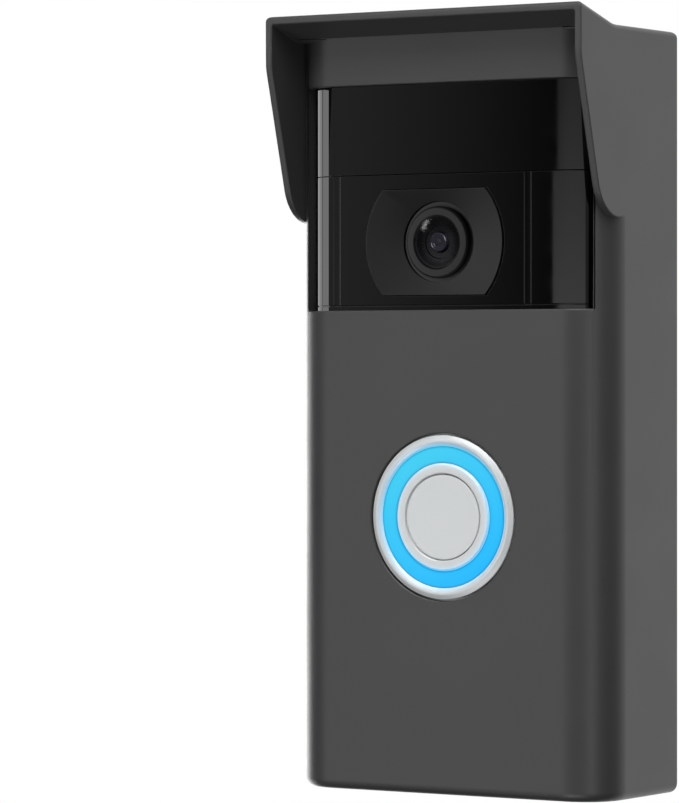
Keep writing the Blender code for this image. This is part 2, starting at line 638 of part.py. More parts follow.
def make_bracket():
    plate = prism("mounting_bracket", "Y", rounded(54.0, 120.0, 5.0), -2.2, 0.0)
    neck, top = HOOK_Z + HOOK_NECK, HOOK_Z + HOOK_RISE
    hook = [(-1.0, HOOK_Z), (-1.0, neck), (-5.0, neck), (-5.0, top), (-6.6, top),
            (-6.6, HOOK_Z)]
    for side, x in (("left", -HOOK_X), ("right", HOOK_X)):
        join(plate, prism(f"hook_{side}_shape", "X", hook, x - HOOK_WIDTH / 2,
                          x + HOOK_WIDTH / 2))
    join(plate, box("bracket_tab_shape", (-TAB_WIDTH / 2, -11.0, TAB_Z),
                    (TAB_WIDTH / 2, -1.0, TAB_Z + 1.6)))
    cut(plate, prism("wire_window_cut", "Y", rounded(30.0, 25.0, 2.0, (0.0, 43.5)), -4.0, 1.0))
    for row, z in (("lower", -42.0), ("upper", 24.0)):
        for side, x in (("left", -19.5), ("right", 19.5)):
            cut(plate, prism(f"wall_hole_{row}_{side}_cut", "Y",
                             rounded(4.6, 9.0, 2.29, (x, z)), -4.0, 1.0))
    for side, x in (("left", -SECURITY_X), ("right", SECURITY_X)):
        cut(plate, pin(f"tab_hole_{side}_cut", "Z", 1.6, TAB_Z - 1.0, TAB_Z + 3.0,
                       (x, SECURITY_Y, TAB_Z), 20))
    return plate


def make_security_screws():
    screws = []
    for side, x in (("left", -SECURITY_X), ("right", SECURITY_X)):
        profile = [(0, -63.0), (1.8, -63.0), (2.1, -62.6), (2.1, -61.8), (1.3, -61.8),
                   (1.3, -52.0), (0, -52.0)]
        screw = turned(f"security_screw_{side}", "Z", profile, (x, SECURITY_Y, -57.0), 20)
        screws.append(cut(screw, pin(f"security_screw_{side}_drive_cut", "Z", 1.0, -64.0, -62.4,
                                     (x, SECURITY_Y, -63.0), 6)))
    return screws


# ---------------------------------------------------------------- assembly

def build():
    clear_scene()
    bracket = body("bracket_body")
    doorbell = body("doorbell_body")
    hood = body("hood_body", (0.0, HOOD_FRONT, 0.0))
    button = body("button_body", (BUTTON_X, BELL_FRONT, BUTTON_Z))
    setup = body("setup_body", (SETUP_X, HOUSING_BACK, SETUP_Z))

    hood_plastic = finish_of("hood_plastic", (0.075, 0.075, 0.077), 0.55)
    silver_paint = finish_of("silver_paint", (0.62, 0.62, 0.64), 0.35, 0.6)
    gloss_black = finish_of("gloss_black", (0.008, 0.008, 0.009), 0.08)
    satin_black = finish_of("satin_black", (0.02, 0.02, 0.022), 0.4)
    clear_glass = finish_of("clear_glass", (0.02, 0.02, 0.03), 0.03)
    button_silver = finish_of("button_silver", (0.7, 0.7, 0.69), 0.35, 0.3)
    glow_blue = finish_of("glow_blue", (0.03, 0.5, 1.0), 0.4, 0.0, (0.03, 0.45, 1.0))
    housing_black = finish_of("housing_black", (0.03, 0.03, 0.032), 0.6)
    board_green = finish_of("board_green", (0.02, 0.16, 0.06), 0.45)
    steel = finish_of("steel", (0.6, 0.6, 0.6), 0.3, 1.0)
    rubber = finish_of("black_rubber", (0.02, 0.02, 0.02), 0.8)
    battery_wrap = finish_of("battery_wrap", (0.12, 0.25, 0.5), 0.5)
    orange = finish_of("orange_plastic", (0.85, 0.25, 0.03), 0.45)
    milky = finish_of("milky_plastic", (0.75, 0.75, 0.72), 0.5)

    attach(hood, hood_plastic, make_rain_hood())
    attach(doorbell, silver_paint, make_faceplate())
    attach(doorbell, gloss_black, make_upper_cap(), make_camera_fascia())
    ring, glass, barrel, lens, sensor, camera_board = make_camera_pieces()
    attach(doorbell, satin_black, make_lens_plate(), ring, barrel)
    attach(doorbell, clear_glass, glass, lens)
    sensor_board, motion_lens, cans, lamps = make_motion_sensing()
    attach(doorbell, milky, motion_lens)
    bezel, glow, surround, cap, button_switch, ring_board = make_button_pieces()
    attach(doorbell, button_silver, bezel, surround)
    attach(button, button_silver, cap)
    attach(doorbell, glow_blue, glow)
    attach(doorbell, housing_black, make_front_housing(), make_rear_housing(), button_switch,
           sensor)
    attach(doorbell, rubber, make_gasket())
    attach(doorbell, steel, *make_housing_screws())
    attach(doorbell, board_green, make_main_board(), camera_board, sensor_board, ring_board)
    attach(doorbell, steel, *cans)
    attach(doorbell, clear_glass, *lamps)
    speaker, speaker_gasket = make_speaker()
    shield, antenna, microphone, boot = make_board_level_pieces()
    attach(doorbell, housing_black, speaker)
    attach(doorbell, rubber, speaker_gasket, boot)
    attach(doorbell, steel, shield, antenna, microphone)
    attach(doorbell, battery_wrap, make_battery())
    port, charging_board, setup_button, setup_switch, block, terminal_screws = \
        make_back_interfaces()
    attach(doorbell, steel, port, *terminal_screws)
    attach(doorbell, board_green, charging_board)
    attach(doorbell, housing_black, setup_switch, block)
    attach(setup, orange, setup_button)
    attach(doorbell, steel, *make_security_screws())
    attach(bracket, housing_black, make_bracket())


build()
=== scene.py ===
"""Looks of the video doorbell in its rain hood.

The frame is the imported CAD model, in metres, +Z up, with the front facing -Y. Shapes here are
drawn in millimetres and MM turns them into metres. Each visible shell is rebuilt finely over its
CAD node, the pieces inside get rounded edges, and every piece gets a procedural material.
"""

import json
import math

import bmesh
import bpy
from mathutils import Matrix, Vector

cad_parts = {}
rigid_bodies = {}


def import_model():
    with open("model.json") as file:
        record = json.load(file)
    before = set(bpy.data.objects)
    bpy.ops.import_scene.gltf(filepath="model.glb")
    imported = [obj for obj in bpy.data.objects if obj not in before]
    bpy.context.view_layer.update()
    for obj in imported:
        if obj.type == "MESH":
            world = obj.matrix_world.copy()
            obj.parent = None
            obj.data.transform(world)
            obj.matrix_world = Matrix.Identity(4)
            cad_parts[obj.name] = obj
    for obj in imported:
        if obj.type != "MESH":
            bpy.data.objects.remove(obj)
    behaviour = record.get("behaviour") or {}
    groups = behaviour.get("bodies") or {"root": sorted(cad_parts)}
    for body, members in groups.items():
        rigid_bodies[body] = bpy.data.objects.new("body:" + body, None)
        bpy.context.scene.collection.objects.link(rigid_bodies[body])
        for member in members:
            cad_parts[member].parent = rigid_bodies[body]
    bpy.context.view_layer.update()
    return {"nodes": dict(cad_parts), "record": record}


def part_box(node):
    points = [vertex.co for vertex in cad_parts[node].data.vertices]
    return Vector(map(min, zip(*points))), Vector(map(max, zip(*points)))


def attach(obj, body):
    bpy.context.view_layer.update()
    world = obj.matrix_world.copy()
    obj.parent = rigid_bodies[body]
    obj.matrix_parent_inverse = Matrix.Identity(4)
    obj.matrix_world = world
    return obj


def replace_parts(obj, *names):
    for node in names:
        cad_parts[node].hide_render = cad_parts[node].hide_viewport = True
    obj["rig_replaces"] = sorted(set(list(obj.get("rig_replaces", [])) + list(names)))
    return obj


MM = 0.001

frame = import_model()
record = frame["record"]
BODY_OF = {node: body for body, nodes in record["behaviour"]["bodies"].items() for node in nodes}
SLOT_OF = {part["node"]: part["material_slot"] for part in record["subparts"]}


def span(node):
    """The lowest and highest corner of a CAD node, in millimetres."""
    low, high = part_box(node)
    return low / MM, high / MM


# ---------------------------------------------------------------- sizes, read from the frame

hood_low, hood_high = span("rain_hood")
shell_low, shell_high = span("faceplate")
cap_low, cap_high = span("upper_cap")
fascia_low, fascia_high = span("camera_fascia")
plate_low, plate_high = span("lens_plate")
bezel_low, bezel_high = span("button_bezel")
glow_high = span("light_ring")[1]
surround_low, surround_high = span("button_surround")
push_high = span("button_cap")[1]

GAP = 0.3  # between the hood and the doorbell, and round the button's parts
OVER = 1.0  # how far a cutting shape passes the piece that it cuts

HOOD_CORNER, HOOD_FOOT = 8.7, 1.8
HOOD_SIDE, PANEL_WALL, ROOF_WALL, FLOOR_WALL, FLAP_WALL = 2.25, 1.3, 1.8, 2.0, 1.4
HOOD_HALF = hood_high.x
HOOD_LOW, HOOD_BACK = hood_low.z, hood_high.y
VISOR_FRONT, VISOR_TOP = hood_low.y, hood_high.z
VISOR_RISE = 3.5
PANEL_FRONT = shell_low.y - (PANEL_WALL + GAP)
HOOD_HIGH = VISOR_TOP - VISOR_RISE
WINDOW_HALF = HOOD_HALF - 3.0
WINDOW_LOW, WINDOW_HIGH = HOOD_LOW + 88.4, HOOD_LOW + 129.8
FLAP_LOW, FLAP_HIGH = HOOD_LOW + 104.8, HOOD_LOW + 133.2
ROOF_START = PANEL_FRONT + 5.2

BELL_HALF, BELL_FRONT, BELL_BACK = shell_high.x, shell_low.y, shell_high.y
BELL_LOW = shell_low.z
BELL_CORNER, SHELL_WALL = 6.5, 1.4
SEAM = 0.12  # between the pieces of the head
HEAD_SPLIT = (cap_low.z + fascia_high.z) / 2

BUTTON = Vector(((bezel_low.x + bezel_high.x) / 2, BELL_FRONT, (bezel_low.z + bezel_high.z) / 2))
BEZEL_RADIUS = (bezel_high.x - bezel_low.x) / 2
SHELL_HOLE = 14.2
GLOW_OUTER = glow_high.x - BUTTON.x
GLOW_INNER = (surround_high.x - surround_low.x) / 2 + 0.1
GLOW_EDGES = GLOW_INNER + 0.02, GLOW_OUTER - 0.07  # of the part that the silver leaves in sight
GLOW_MIDDLE = sum(GLOW_EDGES) / 2
GLOW_HALF = (GLOW_EDGES[1] - GLOW_EDGES[0]) / 2
PUSH_RADIUS = 7.75

LENS = Vector(((plate_low.x + plate_high.x) / 2, plate_low.y, (plate_low.z + plate_high.z) / 2))
LENS_PLATE_RADIUS = (plate_high.x - plate_low.x) / 2
LENS_PLATE_HALF = (plate_high.z - plate_low.z) / 2
DISH_DEPTH = 1.15
EYE = LENS + Vector((0.45, 0.0, 0.0))  # the lens stands a little right of its plate's middle


# ---------------------------------------------------------------- outlines

def arc(centre, radius, start, end, steps):
    """Points of an arc, with both ends, angles in degrees."""
    points = []
    for i in range(steps + 1):
        angle = math.radians(start + (end - start) * i / steps)
        points.append((centre[0] + radius * math.cos(angle), centre[1] + radius * math.sin(angle)))
    return points


def soften(points, radii, steps=5, closed=True):
    """The outline with each corner turned into an arc of its radius; 0 keeps a corner."""
    result = []
    for i, radius in enumerate(radii):
        here = Vector(points[i])
        if radius == 0 or (not closed and i in (0, len(points) - 1)):
            result.append(tuple(here))
            continue
        back = (Vector(points[i - 1]) - here).normalized()
        ahead = (Vector(points[(i + 1) % len(points)]) - here).normalized()
        half = back.angle(ahead) / 2
        centre = here + (back + ahead).normalized() * radius / math.sin(half)
        first = here + back * radius / math.tan(half) - centre
        last = here + ahead * radius / math.tan(half) - centre
        start = math.atan2(first.y, first.x)
        turn = (math.atan2(last.y, last.x) - start + math.pi) % (2 * math.pi) - math.pi
        for k in range(steps + 1):
            angle = start + turn * k / steps
            result.append((centre.x + radius * math.cos(angle),
                           centre.y + radius * math.sin(angle)))
    return result


def rectangle(low_a, high_a, low_b, high_b):
    """A rectangle's corners, given its lowest and highest place along each direction."""
    return [(low_a, low_b), (high_a, low_b), (high_a, high_b), (low_a, high_b)]


def u_section(half, front, back, radius, steps=24):
    """Plan of a shell: round corners at the front, square at the back."""
    outline = [(half, back), (-half, back)]
    outline += arc((-half + radius, front + radius), radius, 180, 270, steps)
    outline += arc((half - radius, front + radius), radius, 270, 360, steps)
    return outline


def lens_plate_outline(grow=0.0, steps=32):
    """A disc with its top and bottom cut straight."""
    radius, half = LENS_PLATE_RADIUS + grow, LENS_PLATE_HALF + grow
    reach = math.degrees(math.asin(half / radius))
    centre = (LENS.x, LENS.z)
    return (arc(centre, radius, -reach, reach, steps)
            + arc(centre, radius, 180 - reach, 180 + reach, steps))


# ---------------------------------------------------------------- meshes

AXES = {"X": (1, 2, 0), "Y": (0, 2, 1), "Z": (0, 1, 2)}


def new_piece(name, bm):
    """The finished bmesh as an object in the scene."""
    bmesh.ops.recalc_face_normals(bm, faces=bm.faces)
    mesh = bpy.data.meshes.new(name)
    bm.to_mesh(mesh)
    bm.free()
    piece = bpy.data.objects.new(name, mesh)
    bpy.context.scene.collection.objects.link(piece)
    return piece


def loft(name, rings):
    """A closed solid through rings of points in millimetres, each with as many points."""
    bm = bmesh.new()
    loops = [[bm.verts.new(Vector(point) * MM) for point in ring] for ring in rings]
    bm.faces.new(loops[0])
    bm.faces.new(loops[-1])
    for lower, upper in zip(loops, loops[1:]):
        for i in range(len(lower)):
            j = (i + 1) % len(lower)
            bm.faces.new((lower[i], lower[j], upper[j], upper[i]))
    return new_piece(name, bm)


def prism(name, axis, outline, low, high):
    """An outline drawn across the axis and extruded along it from low to high."""
    first, second, along = AXES[axis]
    rings = []
    for level in (low, high):
        ring = []
        for a, b in outline:
            spot = [0.0, 0.0, 0.0]
            spot[first], spot[second], spot[along] = a, b, level
            ring.append(spot)
        rings.append(ring)
    return loft(name, rings)


def box(name, low, high):
    """A box between its lowest and its highest corner."""
    return prism(name, "Z", rectangle(low[0], high[0], low[1], high[1]), low[2], high[2])


def turned(name, profile, centre, steps=96):
    """A profile of (radius, place along Y) pairs spun round the Y axis through the centre.

    A profile that starts and ends at radius 0 makes a solid, any other a ring.
    """
    solid = profile[0][0] == 0 and profile[-1][0] == 0
    bm = bmesh.new()
    points = [bm.verts.new(Vector((centre[0] + radius, level, centre[2])) * MM)
              for radius, level in profile]
    edges = [bm.edges.new(pair) for pair in zip(points, points[1:])]
    if not solid:
        edges.append(bm.edges.new((points[-1], points[0])))
    bmesh.ops.spin(bm, geom=points + edges, cent=Vector((centre[0], 0, centre[2])) * MM,
                   axis=(0, 1, 0), angle=2 * math.pi, steps=steps)
    bmesh.ops.remove_doubles(bm, verts=bm.verts, dist=1e-7)
    piece = new_piece(name, bm)
    piece.data.shade_smooth()
    piece.data.set_sharp_from_angle(angle=math.radians(40))
    return piece


def plug(name, radius, start, end, centre, steps=96):
    """A cylinder along Y from start to end, which cuts a round hole."""
    return turned(name, [(0, start), (radius, start), (radius, end), (0, end)], centre, steps)


def settle(piece):
    """Applies the piece's modifiers to its mesh."""
    evaluated = piece.evaluated_get(bpy.context.evaluated_depsgraph_get())
    mesh = bpy.data.meshes.new_from_object(evaluated)
    piece.modifiers.clear()
    piece.data = mesh


def carve(piece, operation, *tools):
    """Cuts the tools from the piece or joins them to it, and removes them from the scene."""
    for tool in tools:
        step = piece.modifiers.new(tool.name, "BOOLEAN")
        step.operation = operation
        step.object = tool
    settle(piece)
    for tool in tools:
        bpy.data.objects.remove(tool, do_unlink=True)
    return piece


def cut(piece, *tools):
    return carve(piece, "DIFFERENCE", *tools)


def join(piece, *tools):
    return carve(piece, "UNION", *tools)


def clean(piece, merge=0.004):
    """Merges stray points and joins faces that lie in one plane."""
    bm = bmesh.new()
    bm.from_mesh(piece.data)
    bmesh.ops.remove_doubles(bm, verts=bm.verts, dist=merge * MM)
    bmesh.ops.dissolve_degenerate(bm, edges=bm.edges, dist=merge * MM)
    bmesh.ops.dissolve_limit(bm, angle_limit=math.radians(0.3), verts=bm.verts, edges=bm.edges,
                             delimit=set())
    bm.to_mesh(piece.data)
    bm.free()


def round_chosen(piece, radius, segments, chosen):
    """Rounds the edges whose two ends both pass the test `chosen`, given in millimetres."""
    bm = bmesh.new()
    bm.from_mesh(piece.data)
    edges = [edge for edge in bm.edges
             if all(chosen(vert.co / MM) for vert in edge.verts)
             and edge.is_manifold and edge.calc_face_angle() > math.radians(30)]
    bmesh.ops.bevel(bm, geom=edges, offset=radius * MM, offset_type="OFFSET", segments=segments,
                    profile=0.5, affect="EDGES", clamp_overlap=False)
    bm.to_mesh(piece.data)
    bm.free()


def round_edges(piece, radius, segments=3, angle=35, clamp=False):
    """Rounds every sharp edge a little and shades the piece smooth."""
    bevel = piece.modifiers.new("edge_rounding", "BEVEL")
    bevel.width = radius * MM
    bevel.segments = segments
    bevel.limit_method = "ANGLE"
    bevel.angle_limit = math.radians(angle)
    bevel.use_clamp_overlap = clamp
    bevel.miter_outer = "MITER_ARC"
    settle(piece)
    piece.data.shade_smooth()
    weighted = piece.modifiers.new("weighted_normals", "WEIGHTED_NORMAL")
    weighted.weight = 80
    return piece


# ---------------------------------------------------------------- material helpers

def material(name, colour, roughness, metallic=0.0, **sockets):
    """A Principled material, its node tree and its shader."""
    made = bpy.data.materials.new(name)
    made.use_nodes = True
    shader = made.node_tree.nodes["Principled BSDF"]
    shader.inputs["Base Color"].default_value = (*colour, 1.0)
    shader.inputs["Roughness"].default_value = roughness
    shader.inputs["Metallic"].default_value = metallic
    for socket, value in sockets.items():
        shader.inputs[socket.replace("_", " ")].default_value = value
    return made, made.node_tree, shader


def node(tree, kind, settings=(), **links):
    """A shader node with its settings, and its inputs set to values or linked to sockets."""
    made = tree.nodes.new(kind)
    for name, value in settings:
        setattr(made, name, value)
    for name, value in links.items():
        key = int(name[1:]) if name[0] == "i" and name[1:].isdigit() else name.replace("_", " ")
        socket = made.inputs[key]
        if isinstance(value, bpy.types.NodeSocket):
            tree.links.new(value, socket)
        else:
            socket.default_value = value
    return made


def noise(tree, scale, detail=4.0, roughness=0.55):
    """Noise over the piece's own coordinates, scale in waves per metre."""
    coordinates = node(tree, "ShaderNodeTexCoord")
    return node(tree, "ShaderNodeTexNoise", Vector=coordinates.outputs["Object"], Scale=scale,
                Detail=detail, Roughness=roughness).outputs["Fac"]


def spread(tree, value, low, high):
    """Turns a noise of 0 to 1 into values from low to high."""
    usual_low, usual_high = 0.3, 0.7
    return node(tree, "ShaderNodeMapRange", Value=value, From_Min=usual_low,
                From_Max=usual_high, To_Min=low, To_Max=high).outputs["Result"]


def tint(tree, factor, first, second):
    """A colour that runs from the first to the second as the factor goes from 0 to 1."""
    mix = node(tree, "ShaderNodeMix", [("data_type", "RGBA")], Factor=factor)
    colours = [socket for socket in mix.inputs if socket.type == "RGBA"]
    colours[0].default_value = (*first, 1.0)
    colours[1].default_value = (*second, 1.0)
    return next(socket for socket in mix.outputs if socket.type == "RGBA")


def bump(tree, shader, height, distance):
    """Gives the shader a relief as deep as distance, in millimetres."""
    made = node(tree, "ShaderNodeBump", Height=height, Distance=distance * MM, Strength=1.0)
    tree.links.new(made.outputs["Normal"], shader.inputs["Normal"])


def varied(name, colour, roughness, metallic=0.0, colour_step=0.08, roughness_step=0.05,
           grain=2500.0, grain_height=0.01, patch=60.0, **sockets):
    """A finish whose colour and roughness drift in soft patches, with a fine grain as bump."""
    made, tree, shader = material(name, colour, roughness, metallic, **sockets)
    drift = noise(tree, patch, detail=3.0)
    speckle = noise(tree, grain, detail=2.0)
    darker = [c * (1 - colour_step) for c in colour]
    lighter = [min(1.0, c * (1 + colour_step)) for c in colour]
    half_speckle = node(tree, "ShaderNodeMath", [("operation", "MULTIPLY_ADD")], i0=speckle,
                        i1=0.5, i2=0.0)
    mean = node(tree, "ShaderNodeMath", [("operation", "MULTIPLY_ADD")], i0=drift, i1=0.5,
                i2=half_speckle.outputs[0])
    tree.links.new(tint(tree, spread(tree, mean.outputs[0], 0.0, 1.0), darker, lighter),
                   shader.inputs["Base Color"])
    tree.links.new(spread(tree, mean.outputs[0], roughness - roughness_step,
                          roughness + roughness_step), shader.inputs["Roughness"])
    bump(tree, shader, speckle, grain_height)
    return made


# ---------------------------------------------------------------- materials

def from_ring_middle(tree):
    """How far a point is, across the button, from the middle of the lit ring's width."""
    coordinates = node(tree, "ShaderNodeTexCoord")
    offset = node(tree, "ShaderNodeVectorMath", [("operation", "SUBTRACT")],
                  i0=coordinates.outputs["Object"], i1=BUTTON * MM)
    flat = node(tree, "ShaderNodeVectorMath", [("operation", "MULTIPLY")],
                i0=offset.outputs[0], i1=(1.0, 0.0, 1.0))
    radius = node(tree, "ShaderNodeVectorMath", [("operation", "LENGTH")], i0=flat.outputs[0])
    from_middle = node(tree, "ShaderNodeMath", [("operation", "SUBTRACT")],
                       i0=radius.outputs["Value"], i1=GLOW_MIDDLE * MM)
    distance = node(tree, "ShaderNodeMath", [("operation", "ABSOLUTE")], i0=from_middle.outputs[0])
    return distance.outputs[0]


def glow_material():
    """Milky blue plastic lit from behind, dimmer at its edges, and paler towards its upper left:
    painted light from above.
    """
    lean, edge_width, edge_share = 0.6, 0.5, 0.55
    made, tree, shader = material("glow_blue", (0.01, 0.08, 0.22), 0.35,
                                  Specular_IOR_Level=0.2)
    coordinates = node(tree, "ShaderNodeTexCoord")
    parts = node(tree, "ShaderNodeSeparateXYZ", Vector=coordinates.outputs["Object"])
    across = node(tree, "ShaderNodeMath", [("operation", "MULTIPLY_ADD")],
                  i0=parts.outputs["X"], i1=-lean, i2=0.0)
    slope = node(tree, "ShaderNodeMath", [("operation", "ADD")], i0=parts.outputs["Z"],
                 i1=across.outputs[0])
    middle = (BUTTON.z - lean * BUTTON.x) * MM
    reach = 1.1 * GLOW_OUTER * MM
    # painted light: the ring's colour runs paler towards its upper left, as if lit from above
    rise = node(tree, "ShaderNodeMapRange", Value=slope.outputs[0], From_Min=middle - reach,
                From_Max=middle + reach)
    colour = tint(tree, rise.outputs["Result"], (0.004, 0.42, 0.8), (0.04, 0.54, 0.7))
    dim = node(tree, "ShaderNodeMapRange", [("interpolation_type", "SMOOTHSTEP")],
               Value=from_ring_middle(tree), From_Min=(GLOW_HALF - edge_width) * MM,
               From_Max=GLOW_HALF * MM, To_Min=1.0, To_Max=edge_share)
    edged = node(tree, "ShaderNodeVectorMath", [("operation", "SCALE")], i0=colour,
                 Scale=dim.outputs["Result"])
    tree.links.new(edged.outputs[0], shader.inputs["Emission Color"])
    shader.inputs["Emission Strength"].default_value = 1.0
    bump(tree, shader, noise(tree, 900.0), 0.004)
    return made


def silver_with_painted_glow_material(colour):
    """The button's silver with the blue ring's light painted on as emission along its edges next
    to the ring.
    """
    made = varied("silver_with_painted_glow", colour, 0.36, 0.15, colour_step=0.03, grain=6000.0,
                  grain_height=0.003)
    tree = made.node_tree
    shader = tree.nodes["Principled BSDF"]
    # painted light: the ring's blue glow, given off by the silver itself and fading over this
    # reach from the ring
    reach = 1.7
    painted_glow_falloff = node(tree, "ShaderNodeMapRange", Value=from_ring_middle(tree),
                From_Min=GLOW_HALF * MM, From_Max=(GLOW_HALF + reach) * MM, To_Min=1.0,
                To_Max=0.0)
    painted_glow_spill = node(tree, "ShaderNodeMath", [("operation", "POWER")], i0=painted_glow_falloff.outputs["Result"],
                 i1=3.0)
    tree.links.new(tint(tree, painted_glow_spill.outputs[0], (0.0, 0.0, 0.0), (0.0, 0.3, 0.55)),
                   shader.inputs["Emission Color"])
    shader.inputs["Emission Strength"].default_value = 1.0
    return made


def glass_material():
    """Coated lens glass, with a faint violet bloom."""
    made, tree, shader = material("clear_glass", (0.9, 0.9, 0.95), 0.13, Transmission_Weight=1.0,
                                  IOR=1.5, Coat_Weight=0.2, Coat_Roughness=0.12)
    bump(tree, shader, noise(tree, 150.0, detail=1.0), 0.0002)
    return made


def emission_material(name):
    """A material that only gives off light, its node tree and its emission node."""
    made = bpy.data.materials.new(name)
    made.use_nodes = True
    tree = made.node_tree
    tree.nodes.clear()
    emission = node(tree, "ShaderNodeEmission", Strength=1.0)
    output = node(tree, "ShaderNodeOutputMaterial")
    tree.links.new(emission.outputs[0], output.inputs["Surface"])
    return made, tree, emission


def make_looks():
    """The finishes by name: one for each slot, and variants for single pieces."""
    button_colour = (0.66, 0.68, 0.69)
    return {
        "hood_plastic": varied("hood_plastic", (0.047, 0.047, 0.0475), 0.42, colour_step=0.05,
                               grain=3200.0, grain_height=0.012, IOR=1.5),
        "silver_paint": varied("silver_paint", (0.55, 0.56, 0.58), 0.38, 0.35, colour_step=0.04,
                               grain=6000.0, grain_height=0.004),
        "gloss_black": varied("gloss_black", (0.0028, 0.0028, 0.003), 0.02, colour_step=0.2,
                              roughness_step=0.008, grain=240.0, grain_height=0.0002, IOR=1.5),
        "satin_black": varied("satin_black", (0.028, 0.028, 0.029), 0.45, colour_step=0.1,
                              grain=5000.0, grain_height=0.004),
        "barrel_black": varied("barrel_black", (0.005, 0.005, 0.006), 0.5, grain=4000.0,
                               grain_height=0.003),
        "clear_glass": glass_material(),
        "element_glass": varied("element_glass", (0.045, 0.042, 0.055), 0.15, colour_step=0.3,
                                roughness_step=0.03, grain=900.0, grain_height=0.003,
                                Coat_Weight=0.5),
        "lamp_epoxy": varied("lamp_epoxy", (0.03, 0.012, 0.03), 0.08, roughness_step=0.02,
                             grain=600.0, grain_height=0.001, Transmission_Weight=0.3),
        "button_silver": varied("button_silver", button_colour, 0.36, 0.15,
                                colour_step=0.03, grain=6000.0, grain_height=0.003),
        # the button's silver with the ring's blue light painted on its edges
        "silver_with_painted_glow": silver_with_painted_glow_material(button_colour),
        "glow_blue": glow_material(),
        "housing_black": varied("housing_black", (0.028, 0.028, 0.03), 0.55, grain=2600.0,
                                grain_height=0.02),
        "board_green": varied("board_green", (0.012, 0.12, 0.045), 0.4, colour_step=0.25,
                              grain=1200.0, grain_height=0.01),
        "steel": varied("steel", (0.58, 0.58, 0.57), 0.28, 1.0, roughness_step=0.1, grain=3000.0,
                        grain_height=0.003),
        "black_rubber": varied("black_rubber", (0.018, 0.018, 0.018), 0.8, grain=1800.0,
                               grain_height=0.02),
        "battery_wrap": varied("battery_wrap", (0.06, 0.17, 0.42), 0.45, colour_step=0.15,
                               grain=500.0, grain_height=0.01),
        "orange_plastic": varied("orange_plastic", (0.8, 0.2, 0.02), 0.4),
        "milky_plastic": varied("milky_plastic", (0.7, 0.7, 0.67), 0.5,
                                Subsurface_Weight=0.3, Subsurface_Scale=0.001),
    }


LOOKS = make_looks()


def place(piece, node_name, look=None):
    """The piece stands for a CAD node: it rides on the node's body and takes its slot's finish,
    or a finish of its own within that slot."""
    slot = SLOT_OF[node_name]
    piece.data.materials.clear()
    piece.data.materials.append(LOOKS[look or slot])
    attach(piece, BODY_OF[node_name])
    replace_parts(piece, node_name)
    return piece


# ---------------------------------------------------------------- rain hood

def hood_box():
    """The hood's outer shape below the visor, solid, with its lower edge rounded."""
    steps = 6
    rings = []
    for i in range(steps + 1):
        angle = math.radians(90 * i / steps)
        inset = HOOD_FOOT * (1 - math.sin(angle))
        level = HOOD_LOW + HOOD_FOOT * (1 - math.cos(angle))
        plan = u_section(HOOD_HALF - inset, PANEL_FRONT + inset, HOOD_BACK, HOOD_CORNER - inset)
        rings.append([(x, y, level) for x, y in plan])
    plan = u_section(HOOD_HALF, PANEL_FRONT, HOOD_BACK, HOOD_CORNER)
    rings.append([(x, y, HOOD_HIGH) for x, y in plan])
    return loft("rain_hood_moulding", rings)


def visor_block():
    """The flaps' side outline across the whole width, hollowed under the roof."""
    foot_radius = 8.0
    foot_centre = (PANEL_FRONT + 6.2, FLAP_LOW + foot_radius)
    foot = arc(foot_centre, foot_radius, 270, 196, 14)
    block_back = PANEL_FRONT + 12.0
    corners = [(block_back, FLAP_LOW + 1.0), *foot, (VISOR_FRONT + 0.05, FLAP_HIGH),
               (VISOR_FRONT, VISOR_TOP), (ROOF_START, HOOD_HIGH), (block_back, HOOD_HIGH)]
    radii = [0] * (1 + len(foot)) + [9.0, 0, 12.0, 0]
    block = prism("visor_block", "X", soften(corners, radii, steps=8), -HOOD_HALF, HOOD_HALF)
    room_front, room_back = VISOR_FRONT - 2.0, PANEL_FRONT + 9.0
    room_low, room_high = FLAP_LOW - 5.0, HOOD_HIGH - 1.0
    under = [(room_front, VISOR_TOP - 1.15), (PANEL_FRONT, HOOD_HIGH - 0.55),
             (PANEL_FRONT + 1.2, room_high), (room_back, room_high), (room_back, room_low),
             (room_front, room_low)]
    room_half = HOOD_HALF - FLAP_WALL
    return cut(block, prism("visor_room", "X", under, -room_half, room_half))


def roof_line(y):
    """Height of the hood's roof over the place y."""
    rise = max(0.0, (ROOF_START - y) / (ROOF_START - VISOR_FRONT))
    return HOOD_HIGH + rise * (VISOR_TOP - HOOD_HIGH)


def on_roof_edge(point):
    """Whether the point lies on one of the hood's side faces, at the height of its roof."""
    on_side = abs(abs(point.x) - HOOD_HALF) < 0.01
    return on_side and point.z > roof_line(point.y) - 0.35


def hold_inside(piece, half):
    """Brings points that a rounding pushed out sideways back to the piece's half width."""
    for vertex in piece.data.vertices:
        vertex.co.x = max(-half * MM, min(half * MM, vertex.co.x))


